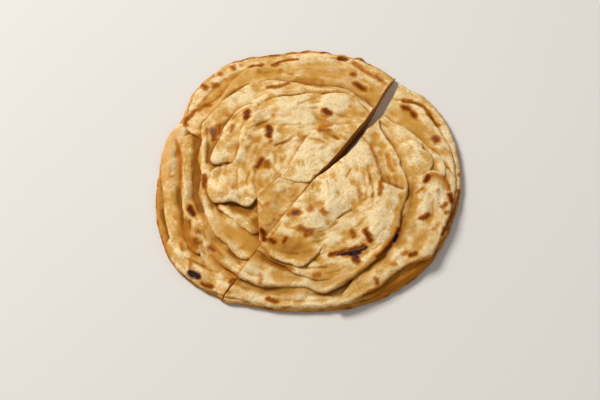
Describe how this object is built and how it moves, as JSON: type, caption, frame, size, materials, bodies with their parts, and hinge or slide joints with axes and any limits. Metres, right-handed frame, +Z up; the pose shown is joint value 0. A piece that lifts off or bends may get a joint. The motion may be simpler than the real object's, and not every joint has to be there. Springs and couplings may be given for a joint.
{
  "type": "paratha flatbread",
  "caption": "Round coiled, layered flatbread with browned leaves and spots, cut straight across into halves that lie together.",
  "frame": {"origin": "middle of the whole bread's flat underside, both halves taken together", "axes": "+Z up out of the layered top, +Y from the front edge towards the back edge, +X to the right"},
  "size_m": [0.2098, 0.2142, 0.0154],
  "materials": {
    "crust": "matt baked dough, pale with golden and browned patches"
  },
  "bodies": {
    "root": {"back_half": "crust", "front_half": "crust"}
  },
  "joints": []
}
